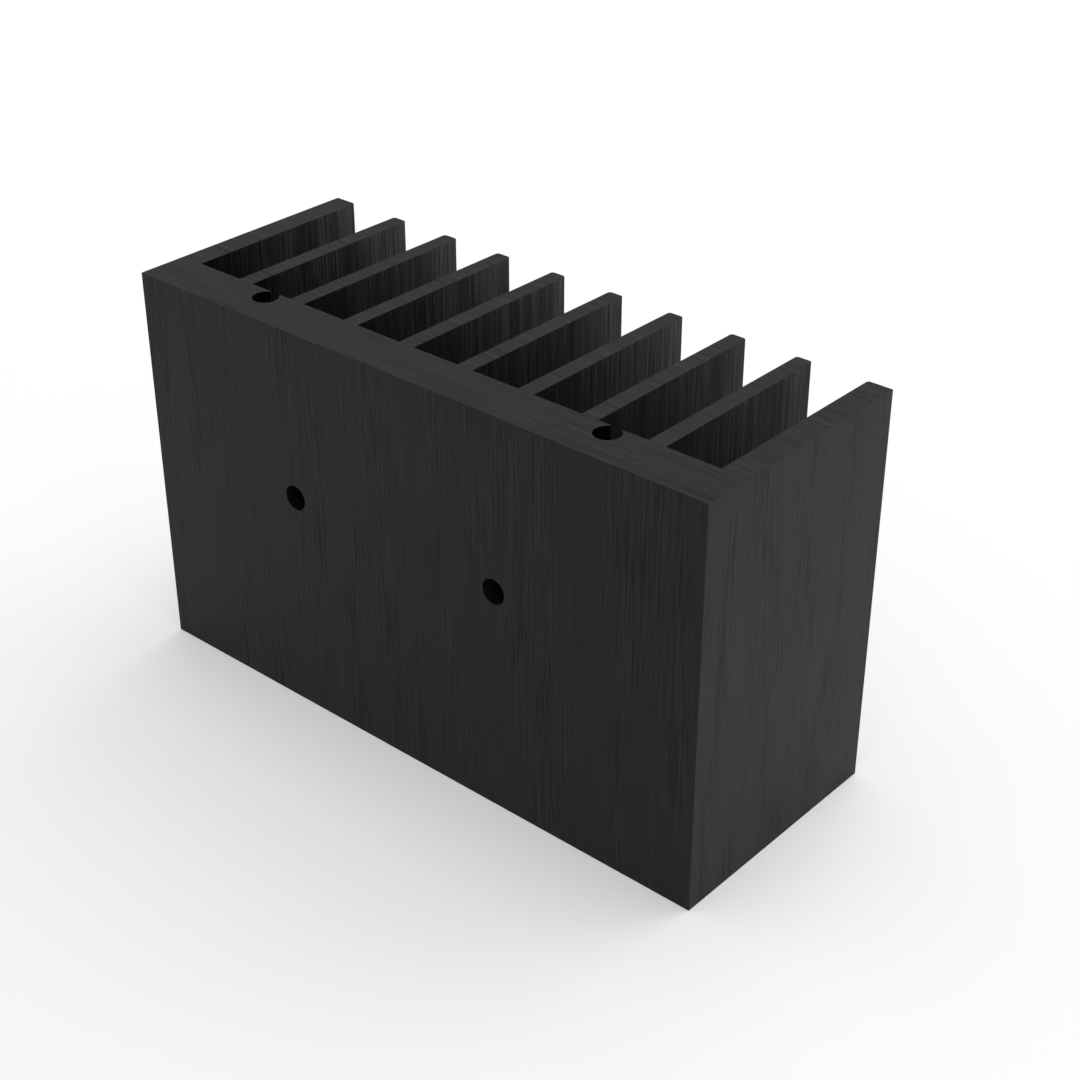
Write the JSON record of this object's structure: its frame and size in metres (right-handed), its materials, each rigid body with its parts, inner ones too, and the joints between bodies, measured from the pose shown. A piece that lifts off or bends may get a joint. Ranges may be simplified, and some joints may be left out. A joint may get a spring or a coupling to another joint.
{
  "type": "extruded heat sink",
  "caption": "Black anodised aluminium extrusion that cools power devices: a flat base with straight fins, drilled device holes and keyhole channels for board screws.",
  "frame": {"origin": "middle of the bounding box of the section, in the plane of the cut end that the heat sink stands on", "axes": "+X along the width of the base, +Y from the device face towards the fin tips, +Z along the extrusion"},
  "size_m": [0.0666, 0.0254, 0.04],
  "materials": {
    "anodised_aluminium": "black anodised, with fine die lines along the extrusion and saw lines across the cut ends"
  },
  "bodies": {
    "root": {"heat_sink": "anodised_aluminium"}
  },
  "joints": []
}
